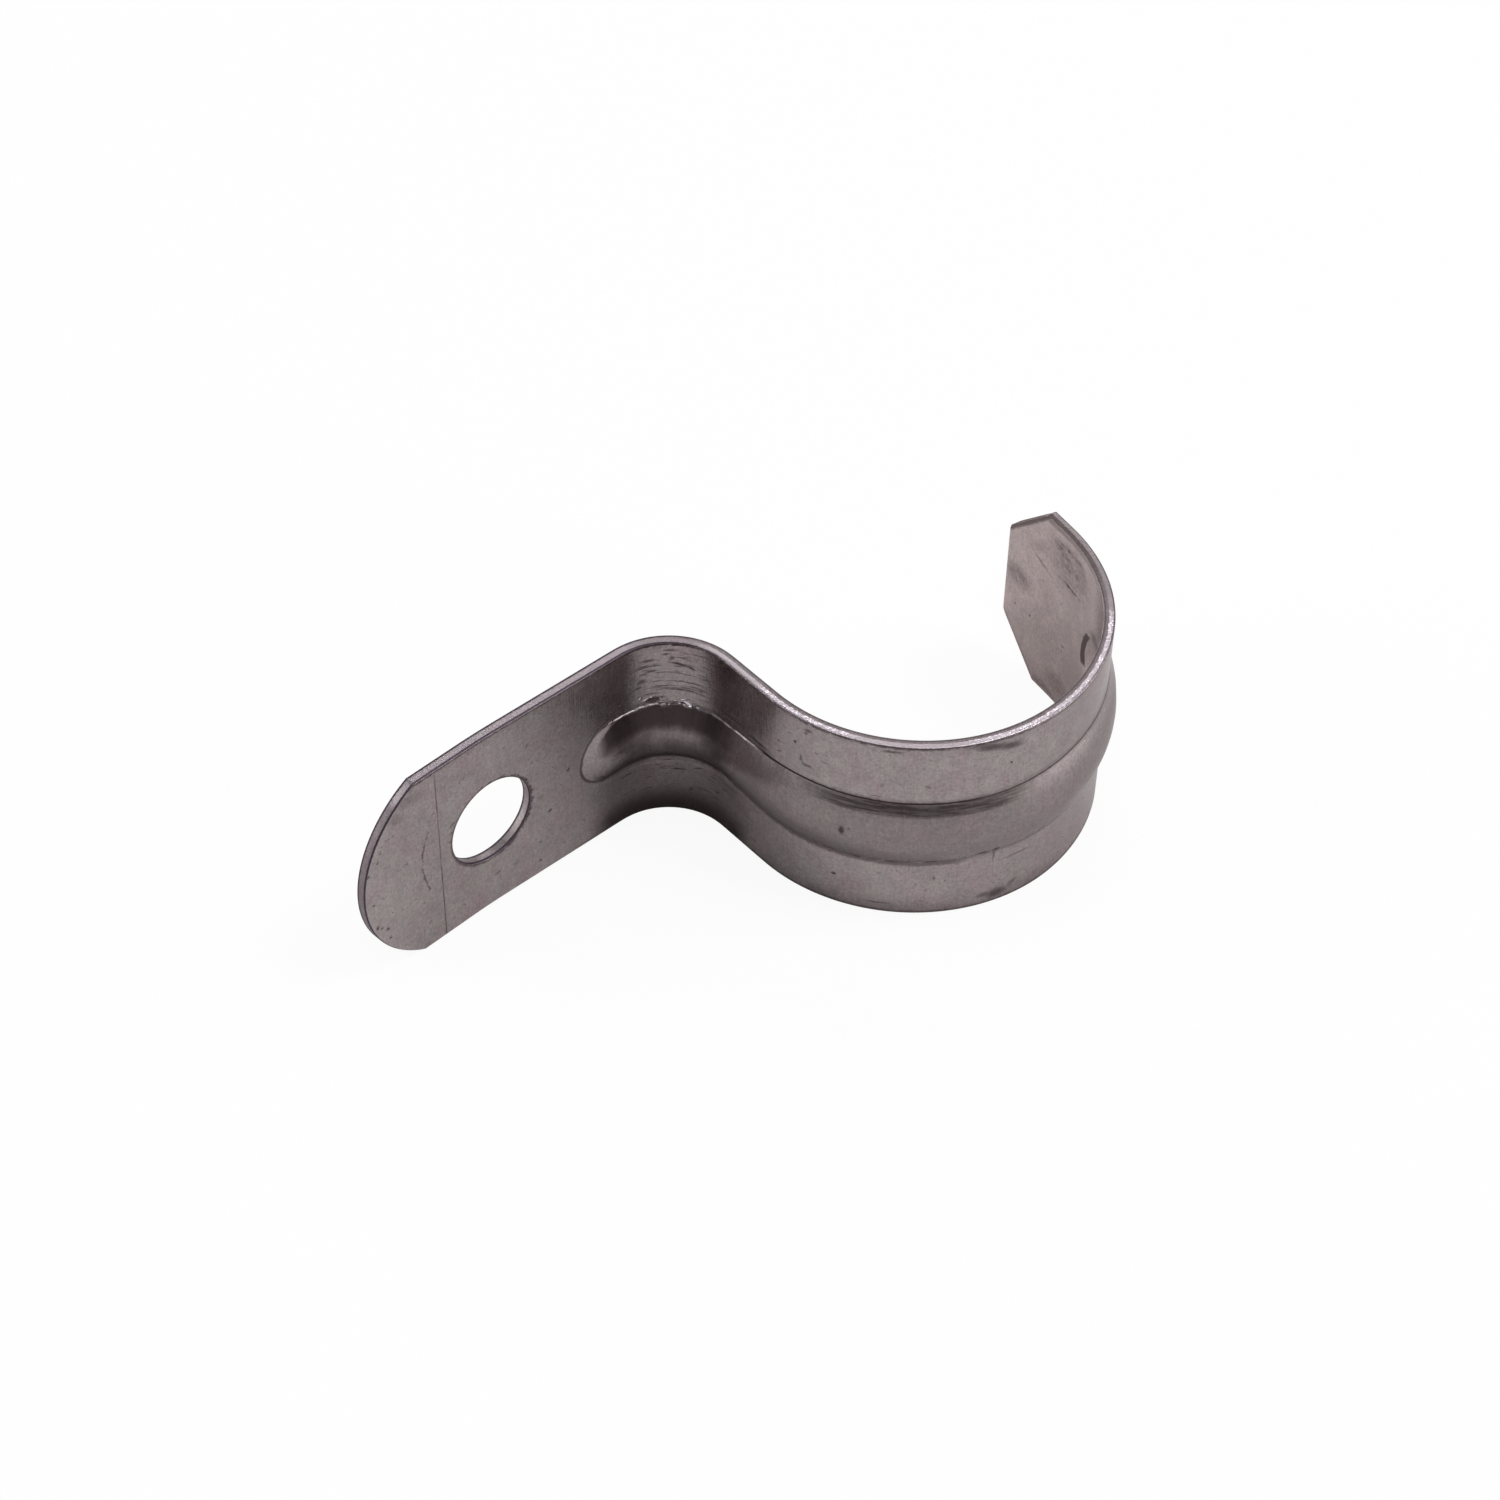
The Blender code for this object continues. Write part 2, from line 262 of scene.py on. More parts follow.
class Strip:
    """The strip's path and pressed form. Every method works on whole arrays of places."""

    def __init__(self, sizes):
        self.sizes = sizes
        lengths, curvatures = stretches(sizes)
        self.ends = np.concatenate([[0.0], np.cumsum(lengths)])
        self.length = self.ends[-1]
        self.half_width = sizes.width / 2
        self.half_sheet = sizes.thickness / 2
        self.bend_start, self.bend_end, self.arch_start = self.ends[3], self.ends[4], self.ends[5]
        self.rib_start = self.bend_start - sizes.rib_start_before_bend
        self.rib_end = self.length - sizes.rib_end_before_tip
        self.foot_radius = (sizes.foot_end_rise**2 + self.half_width**2) / (2 * sizes.foot_end_rise)
        self.table = self.walk(curvatures)
        self.shift = np.zeros(2)
        self.shift = self.seat_in_frame()

    def walk(self, curvatures):
        """Table of run, x, y and heading along the middle of the sheet.

        Curvature steps from one stretch's value to the next with an even ease. Heading is its running
        sum, and x and y are the running sums of the heading's cosine and sine.
        """
        run = np.arange(0.0, self.length + PATH_STEP, PATH_STEP)
        steps = np.diff(curvatures)
        joints = self.ends[1:-1]
        ease = smooth_step(joints[:, None] - CURVATURE_EASE, joints[:, None] + CURVATURE_EASE, run)
        curvature = curvatures[0] + steps @ ease
        heading = self.sizes.foot_cant + running_sum(curvature, PATH_STEP)
        return run, running_sum(np.cos(heading), PATH_STEP), running_sum(np.sin(heading), PATH_STEP), heading

    def middle(self, run):
        """Point and heading of the sheet's middle at each run."""
        runs, xs, ys, headings = self.table
        x = np.interp(run, runs, xs) + self.shift[0]
        y = np.interp(run, runs, ys) + self.shift[1]
        return x, y, np.interp(run, runs, headings)

    def seat_in_frame(self):
        """Shift that puts the back of the foot on the CAD box's wall side and the tip on its -X side."""
        tip_x, _, tip_heading = self.middle(0.0)
        _, wall_y, _ = self.middle(self.bend_start - CURVATURE_EASE)
        lowest_x = tip_x - self.half_sheet * math.sin(tip_heading)
        return np.array([CAD_LOW.x - lowest_x, CAD_HIGH.y - self.half_sheet - wall_y])

    def in_bend(self, run):
        """One in the bend, easing to zero on the foot and on the arch."""
        into = smooth_step(self.rib_start, self.bend_start, run)
        neck_middle = self.bend_end + self.sizes.neck_length / 2
        out = smooth_step(neck_middle, self.arch_start + BEND_FORM_PAST_NECK, run)
        return into * (1 - out)

    def crest_wander(self, run):
        """How far the upper fold wanders, from seeded steps along the run, more where it is torn."""
        knots = np.arange(0.0, self.length + CREST_WANDER_STEP, CREST_WANDER_STEP)
        steps = np.random.default_rng(CREST_WANDER_SEED).uniform(-1.0, 1.0, len(knots))
        torn = near(run, self.bend_start + TORN_CREST_PLACE, TORN_CREST_REACH)
        reach = (CREST_WANDER + (TORN_CREST_WANDER - CREST_WANDER) * torn) * self.in_bend(run)
        return reach * np.interp(run, knots, steps)

    def folds(self, run):
        """Heights of the rib's upper fold, lower fold and crest line at each run."""
        sizes = self.sizes
        neck = sizes.neck_length
        onto_arch = smooth_step(self.bend_end - neck / 2, self.arch_start + neck, run)
        widens_from, widens_to = RIB_WIDENS_ALONG_ARCH
        to_end = smooth_step(self.arch_start + widens_from, self.arch_start + widens_to, run)
        upper = sizes.rib_upper_in_bend + onto_arch * (sizes.rib_upper_on_arch - sizes.rib_upper_in_bend)
        upper = upper + to_end * (sizes.rib_upper_at_end - sizes.rib_upper_on_arch) + self.crest_wander(run)
        lower = sizes.rib_lower_in_bend + onto_arch * (sizes.rib_lower_on_arch - sizes.rib_lower_in_bend)
        crest = -sizes.rib_crest_drop * (1 - CREST_RETURN_ON_ARCH * onto_arch)
        return upper, -lower, crest

    def rib_place(self, run, across):
        """Distance from the rib's spine as a share of the way to its fold, and that way's length.

        The spine stops half a width before each end, which rounds the ends.
        """
        upper, lower, crest = self.folds(run)
        half = (self.sizes.rib_upper_in_bend + self.sizes.rib_lower_in_bend) / 2
        half_end = (self.sizes.rib_upper_at_end + self.sizes.rib_lower_on_arch) / 2
        before = np.maximum(self.rib_start + half - run, 0.0) / half
        after = np.maximum(run - self.rib_end + half_end, 0.0) / half_end
        offset = across - crest
        way = np.where(offset > 0, upper - crest, crest - lower)
        return np.sqrt(before**2 + after**2 + (offset / way)**2), way

    def from_fold(self, run, across):
        """Distance outwards from the rib's fold."""
        share, way = self.rib_place(run, across)
        return (share - 1) * way

    def rib_rise(self, run, across):
        """Height of the rib: a hill over the share of the way from its spine to its fold.

        The hill's side is a hyperbola, straight-sided where its roundness is small, as on the upper side
        in the bend, and close to a dome where it is large. Its foot is softly folded. On the upper side
        in the bend a thin ledge stands inside the fold.
        """
        share, way = self.rib_place(run, across)
        above = smooth_step(*RIB_SIDES_MEET, across)
        in_bend = self.in_bend(run)
        tight = in_bend * above
        roundness = RIB_ROUNDNESS - UPPER_SIDE_STRAIGHTENING * tight
        roundness = roundness - LOWER_SIDE_STRAIGHTENING * in_bend * (1 - above)
        hill = 1 - (np.sqrt(share**2 + roundness**2) - roundness) / (np.sqrt(1 + roundness**2) - roundness)
        soft = FOLD_SOFTNESS + (CREST_FOLD_SOFTNESS - FOLD_SOFTNESS) * tight
        soft = soft + HOOK_FOLD_SOFTENING * smooth_step(*RIB_SOFTENS_ALONG_STRIP, run)
        fold = np.clip(hill + soft, 0.0, 2 * soft)**2 / (4 * soft)
        inside = smooth_step(0.0, CREST_LEDGE_WIDTH, (1 - share) * way)
        ledge = CREST_LEDGE * tight * inside * np.clip(share, 0.0, 1.0)
        return self.sizes.rib_height * np.where(hill > soft, hill, fold) + ledge

    def bend(self, place):
        """Point in space of each place on the blank.

        It is the middle line's point, moved along the sheet's normal by the depth and the rib's rise, at
        the height that across gives.
        """
        run, across, depth = np.moveaxis(place, -1, 0)
        x, y, heading = self.middle(run)
        out = depth + self.rib_rise(run, across)
        return np.stack(
            [x + np.sin(heading) * out, y - np.cos(heading) * out, across + self.half_width], axis=-1
        )

    def foot_end(self, across, inset):
        """Run of the foot's arc end at each height, drawn in by inset."""
        radius = self.foot_radius
        return radius - np.sqrt((radius - inset)**2 - across**2)

    def lip_end(self, across, inset):
        """Run of the lip's end at each height, drawn in by inset: straight, with clipped corners.

        A soft minimum of the end and the clip rounds the point where they meet.
        """
        sizes = self.sizes
        slope = sizes.lip_corner_length / sizes.lip_corner_height
        flat = self.half_width - sizes.lip_corner_height
        corner = self.length - inset * math.hypot(1, slope) - slope * (np.abs(across) - flat)
        end = self.length - inset
        return -LIP_CORNER_EASE * np.logaddexp(-end / LIP_CORNER_EASE, -corner / LIP_CORNER_EASE)

    def blank_grid(self, stations, lanes, inset):
        """Run and across of the grid of stations and lanes, on the blank drawn in by inset.

        Stations and lanes are given on the whole blank. The lanes beside the rib's folds follow them.
        Near the ends the runs are drawn in, so that the first row lies on the foot's arc and the last
        one on the lip's outline.
        """
        upper, lower, _ = self.folds(stations)
        sizes = self.sizes
        high, low = sizes.rib_upper_in_bend, -sizes.rib_lower_in_bend
        up_shift = (upper - high)[:, None] * near(lanes, high, LANES_FOLLOW_FOLD)
        down_shift = (lower - low)[:, None] * near(lanes, low, LANES_FOLLOW_FOLD)
        across = (lanes + up_shift * (lanes > 0) + down_shift * (lanes < 0)) * (1 - inset / self.half_width)
        run = np.broadcast_to(stations[:, None], across.shape)
        foot_zone = self.ends[1] * FOOT_END_ZONE
        lip_zone = sizes.lip_corner_length * LIP_END_ZONE
        near_foot = np.clip(1 - run / foot_zone, 0.0, 1.0)
        near_lip = np.clip(1 - (self.length - run) / lip_zone, 0.0, 1.0)
        drawn = run + self.foot_end(across, inset) * near_foot
        drawn = drawn - (self.length - self.lip_end(across, inset)) * near_lip
        return drawn, across


def spread(start, end, density):
    """Points from start to end whose spacing is the density's step, found from its running sum."""
    fine = np.linspace(start, end, SPREAD_SAMPLES)
    count = running_sum(1 / density(fine), fine[1] - fine[0])
    total = int(math.ceil(count[-1]))
    return np.interp(np.linspace(0.0, count[-1], total + 1), count, fine)


def near(value, place, reach, core=0.4):
    """One at the place and over its core, a share of the reach, easing to zero at the reach."""
    return 1 - smooth_step(core * reach, reach, np.abs(value - place))


def lane_places(strip):
    """Heights of the lanes, closer together at the rib's folds and at the strip's edges."""
    sizes = strip.sizes

    def step(across):
        at_upper = near(across, sizes.rib_upper_in_bend, FINE_BY_UPPER_FOLD)
        at_lower = near(across, -sizes.rib_lower_in_bend, FINE_BY_LOWER_FOLD)
        at_edge = near(np.abs(across), strip.half_width, FINE_BY_EDGE)
        fine = (FOLD_LANE_STEP - LANE_STEP) * at_upper + (EDGE_LANE_STEP - LANE_STEP) * (at_lower + at_edge)
        return LANE_STEP + fine

    lower, upper = spread(-strip.half_width, 0.0, step), spread(0.0, strip.half_width, step)
    return np.concatenate([lower[:-1], upper])


def station_places(strip):
    """Runs of the stations, closer together in the bend."""
    middle = (strip.bend_start + strip.bend_end) / 2
    reach = strip.bend_end - middle + FINE_PAST_BEND

    def step(run):
        return STATION_STEP + (BEND_STATION_STEP - STATION_STEP) * near(run, middle, reach)

    return spread(0.0, strip.length, step)


def edge_profile(sizes):
    """Inset and depth of the rows round a sheared edge, from the outer face to the inner one.

    A quarter round rolls in from the outer face, the wall follows, set back a little where the metal
    broke away, and a small round ends it at the inner face.
    """
    half = sizes.thickness / 2
    turn = np.linspace(0.0, math.pi / 2, ROLL_ROWS + 1)
    roll_inset = sizes.edge_roll * (1 - np.sin(turn))
    roll_depth = half - sizes.edge_roll * (1 - np.cos(turn))
    share = np.linspace(0.0, 1.0, WALL_ROWS + 2)[1:-1]
    wall_depth = roll_depth[-1] + share * (sizes.edge_break - half - roll_depth[-1])
    wall_inset = BREAKAWAY * smooth_step(*BREAKAWAY_SHARES, share)
    turn = np.linspace(0.0, math.pi / 2, BREAK_ROWS + 1)
    break_inset = sizes.edge_break * (1 - np.cos(turn))
    break_depth = -half + sizes.edge_break * (1 - np.sin(turn))
    inset = np.concatenate([roll_inset, wall_inset, break_inset])
    depth = np.concatenate([roll_depth, wall_depth, break_depth])
    return inset, depth


def walk_round(grid):
    """The border of a grid of rows and columns, walked once round, as one row."""
    return np.concatenate([grid[0, :-1], grid[:-1, -1], grid[-1, :0:-1], grid[:0:-1, 0]])


def grid_quads(index):
    """Quads between neighbouring rows and columns of a grid of vertex numbers."""
    return np.stack([index[:-1, :-1], index[1:, :-1], index[1:, 1:], index[:-1, 1:]], axis=-1)


def ring_quads(index):
    """Quads between neighbouring rings of vertex numbers, closed round."""
    return grid_quads(np.concatenate([index, index[:, :1]], axis=1)).reshape(-1, 4)


class Surface:
    """Collects places on the blank and the quads between them."""

    def __init__(self):
        self.places = []
        self.quads = []
        self.count = 0

    def points(self, place):
        """Adds an array of places and returns their numbers in the same layout."""
        shape = place.shape[:-1]
        numbers = self.count + np.arange(math.prod(shape)).reshape(shape)
        self.places.append(place.reshape(-1, 3))
        self.count += numbers.size
        return numbers

    def close(self):
        """Places and quads with the places that no quad uses left out."""
        quads = np.concatenate(self.quads)
        used, quads = np.unique(quads, return_inverse=True)
        return np.concatenate(self.places)[used], quads.reshape(-1, 4)


def face_place(strip, stations, lanes, inset, depth):
    """Places of a face's grid at one depth."""
    run, across = strip.blank_grid(stations, lanes, inset)
    return np.stack([run, across, np.full_like(run, depth)], axis=-1)


def strap_surface(strip):
    """Places and quads of the whole strap, closed.

    Both faces are grids. A band of profile rows joins their borders round the outline. Round the screw
    hole a block of each grid is left out, and rings run from its border in to the hole's circle, down
    the wall and out again.
    """
    sizes = strip.sizes
    stations, lanes = station_places(strip), lane_places(strip)
    inset, depth = edge_profile(sizes)
    surface = Surface()
    outer_place = face_place(strip, stations, lanes, inset[0], depth[0])
    inner_place = face_place(strip, stations, lanes, inset[-1], depth[-1])
    outer, inner = surface.points(outer_place), surface.points(inner_place)

    margin = sizes.hole_diameter / 2 + HOLE_BLOCK_MARGIN
    hole_rows = [sizes.hole_from_end - margin, sizes.hole_from_end + margin]
    first_row, last_row = np.searchsorted(stations, hole_rows)
    first_lane, last_lane = np.searchsorted(lanes, [-margin, margin])
    block = (slice(first_row, last_row + 1), slice(first_lane, last_lane + 1))
    kept = np.ones((len(stations) - 1, len(lanes) - 1), dtype=bool)
    kept[first_row:last_row, first_lane:last_lane] = False
    surface.quads += [grid_quads(outer)[kept], grid_quads(inner)[kept][:, ::-1]]

    rows = [
        walk_round(face_place(strip, stations, lanes, row_inset, row_depth))
        for row_inset, row_depth in zip(inset[1:-1], depth[1:-1])
    ]
    rim = surface.points(np.stack(rows))
    rim = np.concatenate([walk_round(outer)[None], rim, walk_round(inner)[None]])
    surface.quads.append(ring_quads(rim)[:, ::-1])

    border = walk_round(outer_place[block])
    centre = np.array([sizes.hole_from_end, 0.0])
    away = border[:, :2] - centre
    direction = away / np.linalg.norm(away, axis=1, keepdims=True)
    reach = np.linspace(1.0, 0.0, HOLE_RINGS + 1)[1:, None, None]**HOLE_RING_CROWDING
    radius = sizes.hole_diameter / 2
    outer_circle = centre + direction * (radius + inset[0])
    inner_circle = centre + direction * (radius + inset[-1])
    outer_rings = outer_circle + (border[:, :2] - outer_circle) * reach
    inner_border = walk_round(inner_place[block])[:, :2]
    inner_rings = (inner_circle + (inner_border - inner_circle) * reach)[::-1]
    wall = centre + direction * (radius + inset[1:-1, None, None])
    flat = np.concatenate([outer_rings, wall, inner_rings])
    deep = np.concatenate([np.full(HOLE_RINGS, depth[0]), depth[1:-1], np.full(HOLE_RINGS, depth[-1])])
    deep = np.broadcast_to(deep[:, None, None], flat.shape[:2] + (1,))
    rings = surface.points(np.concatenate([flat, deep], axis=-1))
    rings = np.concatenate([walk_round(outer[block])[None], rings, walk_round(inner[block])[None]])
    surface.quads.append(ring_quads(rings))
    return surface.close()


def enclosed_volume(points, quads):
    """Volume inside the quads, from each triangle's corner products. It is positive if they face out."""
    corners = points[quads]
    volume = 0.0
    for second, third in ((1, 2), (2, 3)):
        product = np.cross(corners[:, second], corners[:, third])
        volume += np.einsum('ij,ij->', corners[:, 0], product) / 6
    return volume


def mesh_from(name, points, quads):
    """Mesh with these points and quads, shaded smooth."""
    mesh = bpy.data.meshes.new(name)
    mesh.vertices.add(len(points))
    mesh.vertices.foreach_set("co", points.astype(np.float32).ravel())
    mesh.loops.add(quads.size)
    mesh.loops.foreach_set("vertex_index", quads.astype(np.int32).ravel())
    mesh.polygons.add(len(quads))
    mesh.polygons.foreach_set("loop_start", np.arange(0, quads.size, 4, dtype=np.int32))
    mesh.polygons.foreach_set("use_smooth", np.ones(len(quads), dtype=bool))
    mesh.update(calc_edges=True)
    if mesh.validate():
        raise RuntimeError(f"the mesh {name} had faults")
    return mesh


def show(name, mesh):
    """Object for a finished mesh, linked to the scene."""
    piece = bpy.data.objects.new(name, mesh)
    bpy.context.scene.collection.objects.link(piece)
    return piece


# A noise node's middle value, and what stretches its usual spread to about one either way
NOISE_MIDDLE = 0.5
NOISE_GAIN = 3.0


class Value:
    """A number that varies over a surface. Its operators add Math nodes, and | takes the greater."""

    def __init__(self, sheet, socket):
        self.sheet = sheet
        self.socket = socket

    def __add__(self, other):
        return self.sheet.math('ADD', self, other)

    def __sub__(self, other):
        return self.sheet.math('SUBTRACT', self, other)

    def __rsub__(self, other):
        return self.sheet.math('SUBTRACT', other, self)

    def __mul__(self, other):
        return self.sheet.math('MULTIPLY', self, other)

    def __or__(self, other):
        return self.sheet.math('MAXIMUM', self, other)

    def __abs__(self):
        return self.sheet.math('ABSOLUTE', self)

    __radd__ = __add__
    __rmul__ = __mul__
    __ror__ = __or__


class Finish:
    """A material's nodes, and the few patterns that its maker draws with."""

    def __init__(self, name):
        self.material = bpy.data.materials.new(name)
        self.material.use_nodes = True
        self.tree = self.material.node_tree
        self.shader = self.tree.nodes["Principled BSDF"]

    def add(self, kind, settings, values):
        """Adds a node of this type: its settings first, then its sockets' values or links."""
        node = self.tree.nodes.new(kind)
        for name, setting in settings.items():
            setattr(node, name, setting)
        self.fill(node, values)
        return node

    def fill(self, node, values):
        """Sets or links a node's sockets."""
        for name, value in values.items():
            if isinstance(value, (Value, bpy.types.NodeSocket)):
                self.tree.links.new(getattr(value, "socket", value), node.inputs[name])
            else:
                node.inputs[name].default_value = value

    def math(self, operation, *terms):
        node = self.add('ShaderNodeMath', {"operation": operation}, dict(enumerate(terms)))
        return Value(self, node.outputs[0])

    def vector(self, operation, *terms):
        """A vector worked out of others, or a Value where the operation gives a number."""
        values = dict(enumerate(terms))
        outputs = self.add('ShaderNodeVectorMath', {"operation": operation}, values).outputs
        if operation in {'LENGTH', 'DISTANCE', 'DOT_PRODUCT'}:
            return Value(self, outputs["Value"])
        return outputs["Vector"]

    def joined(self, *parts):
        """Vector with these parts. What is left out is zero."""
        return self.add('ShaderNodeCombineXYZ', {}, dict(enumerate(parts))).outputs[0]

    def carried(self, name):
        """What the mesh carries under this name."""
        return self.add('ShaderNodeAttribute', {"attribute_name": name}, {})

    def rise(self, value, low, high):
        """Zero at low and one at high, eased. Low may be the greater."""
        node = self.add(
            'ShaderNodeMapRange', {"interpolation_type": 'SMOOTHSTEP', "clamp": False},
            {"Value": value, "From Min": low, "From Max": high},
        )
        return Value(self, node.outputs["Result"])

    def band(self, value, low, high, soft):
        """One between low and high, easing to zero over soft on either side."""
        return self.rise(value, low - soft, low) * self.rise(value, high + soft, high)

    def grain(self, place, size, detail=2.0):
        """Noise from about -1 to 1, with lumps of this size in millimetres along the place's axes."""
        scaled = self.vector('DIVIDE', place, size)
        node = self.add('ShaderNodeTexNoise', {}, {"Vector": scaled, "Scale": 1.0, "Detail": detail})
        return (Value(self, node.outputs["Fac"]) - NOISE_MIDDLE) * NOISE_GAIN

    def turned(self, place, turn):
        """The place in axes turned by degrees: its products with the two turned axes."""
        c, s = math.cos(math.radians(turn)), math.sin(math.radians(turn))
        along = self.vector('DOT_PRODUCT', place, (c, s, 0.0))
        up = self.vector('DOT_PRODUCT', place, (-s, c, 0.0))
        return self.joined(along, up)

    def oval(self, place, at, reach, turn=0.0, soft=0.7):
        """A soft oval about a point, as far as reach each way, on a place that is already turned."""
        c, s = math.cos(math.radians(turn)), math.sin(math.radians(turn))
        along, up = at[0] * c + at[1] * s, at[1] * c - at[0] * s
        scale = (1 / reach[0], 1 / reach[1], 0.0)
        shift = (-along / reach[0], -up / reach[1], 0.0)
        away = self.vector('LENGTH', self.vector('MULTIPLY_ADD', place, scale, shift))
        return self.rise(away, 1.0 + soft, 1.0 - soft)

    def marks(self, place, rows, strongest):
        """The strongest of several ovals. A row is its point, reach, turn and strength.

        Each oval joins the rest as soon as it is drawn, because a renderer can hold only so many values
        at once.
        """
        for turn in sorted({row[4] for row in rows}):
            turned = self.turned(place, turn)
            for run, across, long, high, row_turn, strength in rows:
                if row_turn == turn:
                    oval = self.oval(turned, (run, across), (long / 100, high / 100), turn)
                    strongest |= oval * (strength / 100)
        return strongest

    def mix(self, share, first, second):
        """Colour between two colours."""
        values = {0: share, 6: self.rgba(first), 7: self.rgba(second)}
        return self.add('ShaderNodeMix', {"data_type": 'RGBA'}, values).outputs[2]

    def tint(self, paint, share):
        """A colour made lighter or darker by a share that varies."""
        return self.vector('MULTIPLY', paint, self.joined(share, share, share))

    @staticmethod
    def rgba(value):
        return value if isinstance(value, bpy.types.NodeSocket) else (*value, 1.0)


# Marks on the outer face: place along and across the strip in millimetres, reach along and across in
# hundredths of a millimetre, turn in degrees, strength in hundredths
FOOT_MARKS = (
    (18.4, -2.8, 16, 14, 0, 80), (17.3, -5.6, 12, 12, 0, 70), (17.2, -7.6, 14, 12, 0, 70),
    (13.1, -6, 30, 9, 10, 70), (14.8, -6.2, 30, 20, 0, 30), (20.3, 0.35, 14, 16, 0, 80),
    (21.6, 0, 16, 12, 0, 50), (16.3, 5.55, 14, 10, 0, 60), (23.5, -5.6, 40, 35, 0, 30),
    (17.5, -0.8, 25, 25, 0, 25), (4.2, 1.4, 10, 10, 0, 50), (5.6, -3.9, 12, 8, 0, 40),
    (8.9, 1.5, 45, 10, 10, 70), (8.7, 0.6, 40, 8, -10, 60), (8.8, 2.3, 35, 9, 20, 60),
    (5, 7.7, 130, 50, -10, 30), (3.4, 6.6, 90, 45, -30, 25), (10.1, 6.2, 10, 12, 0, 40),
    (3.1, 5.2, 14, 10, 0, 40),
)
END_MARKS = (
    (0.45, 2.7, 16, 16, 0, 80), (0.8, -0.6, 14, 12, 0, 70), (1, -3.2, 14, 18, 0, 90),
    (1.4, -3.5, 12, 12, 0, 70), (1.9, -4, 16, 14, 0, 80), (2.1, -5.1, 12, 14, 0, 70),
    (1.5, 3.5, 14, 14, 0, 70), (1.8, 4.3, 12, 12, 0, 60),
)
BEND_MARKS = (
    (31, 6.85, 95, 14, -10, 90), (31.9, 6.65, 40, 14, -20, 90), (28.6, 6.2, 50, 12, 0, 80),
    (27.7, 5.3, 45, 20, 10, 70), (31.6, 5.05, 160, 7, 0, 80), (29.5, 4.55, 100, 6, 0, 80),
    (32.4, 4.62, 120, 6, 0, 60), (31, 4.18, 190, 8, 0, 80), (29.8, 7.85, 35, 10, 0, 80),
    (30.3, 7.45, 25, 22, 30, 70), (28.3, 7.35, 60, 14, 0, 70), (27.9, 6, 40, 12, 0, 60),
    (27.4, 4.7, 35, 12, 0, 70), (35.8, 3.68, 210, 10, 0, 60), (39.3, 3.45, 120, 16, 0, 80),
    (37.3, 6.5, 12, 10, 0, 70), (30.9, -4.5, 80, 11, 0, 90), (32.7, -4, 60, 12, 20, 80),
    (28, -4.3, 50, 10, -20, 60), (33.2, -6.1, 110, 7, 0, 70), (32, -6.55, 25, 25, 0, 80),
    (30.6, -6.65, 35, 7, 0, 60), (33.1, -7.65, 35, 14, 20, 80), (36.4, -4.1, 80, 30, 0, 50),
    (28.2, -1.35, 11, 75, 10, 80), (28.5, -2.3, 20, 30, 0, 60), (27.4, -2.2, 14, 26, 0, 70),
    (26.2, -1.9, 75, 55, 0, 35), (25.4, -1.3, 30, 40, 20, 30), (33.8, -0.2, 60, 10, 10, 30),
)
ARCH_MARKS = (
    (47.6, 0, 26, 50, 0, 90), (48.15, 0.35, 16, 14, 0, 60), (43.2, 6.35, 16, 13, 30, 90),
    (44.3, 8.15, 35, 16, 0, 70), (44.1, 7.8, 14, 14, 0, 60), (43.8, 4.9, 10, 45, 10, 60),
    (44.3, 4.5, 45, 14, 0, 60), (41.6, 5.4, 18, 12, 0, 50), (41.7, 4.35, 20, 10, 40, 60),
    (59.9, 6.1, 15, 10, -30, 80), (46.9, -5.9, 18, 12, 0, 90), (54.5, -5.1, 6, 22, 0, 60),
    (50.8, 8.45, 70, 14, 0, 70), (58.2, 8.35, 130, 35, -10, 75), (59.7, 7.95, 110, 36, -10, 70),
    (57.4, 8.7, 120, 25, 0, 60), (50.5, -8, 100, 9, 0, 60), (58.6, -7.9, 70, 25, 0, 60),
    (59.6, -8.1, 90, 50, 0, 75), (60.9, -7.6, 60, 25, 30, 45), (61.2, -4.45, 120, 6, 0, 45),
    (59.1, -3.6, 10, 70, 0, 50), (58, -2.7, 60, 16, 0, 80), (59.1, -2.7, 28, 24, 0, 80),
    (45.8, 5.6, 25, 10, 0, 35), (53.6, 4.9, 16, 16, 0, 35), (50.2, 4.8, 14, 14, 0, 35),
    (49.8, 3.6, 50, 6, 0, 40), (51.1, -3.15, 55, 17, 0, 80), (48.6, -3.2, 40, 18, 0, 80),
    (52.5, -2.9, 14, 45, 0, 60), (54.2, -3, 60, 18, 0, 80), (42.4, 2.1, 30, 10, 0, 30),
)
HOOK_SPECKS = (
    (90.9, 0.6, 36, 32, 0, 50), (92.5, 0.2, 30, 28, 0, 50), (91.8, -0.3, 30, 14, 0, 40),
    (89.6, -2.6, 13, 11, 0, 70), (91.7, -2.8, 13, 11, 0, 60), (85, -2.4, 13, 11, 0, 60),
    (85.1, -3, 11, 9, 0, 50), (88.4, 2.2, 11, 9, 0, 40),
)
# Bright flakes where the crest tore in the bend
FLAKES = (
    (28.1, 3.25, 24, 10, 20, 100), (28.6, 3.38, 14, 10, -30, 100), (29.6, 2.86, 60, 7, 0, 100),
    (31, 2.92, 45, 10, 0, 130), (31.6, 2.76, 32, 18, -30, 150), (29.7, 2.44, 55, 7, 0, 90),
    (31.2, 3.1, 24, 9, 30, 110), (27.6, 3.55, 12, 9, 40, 90),
)
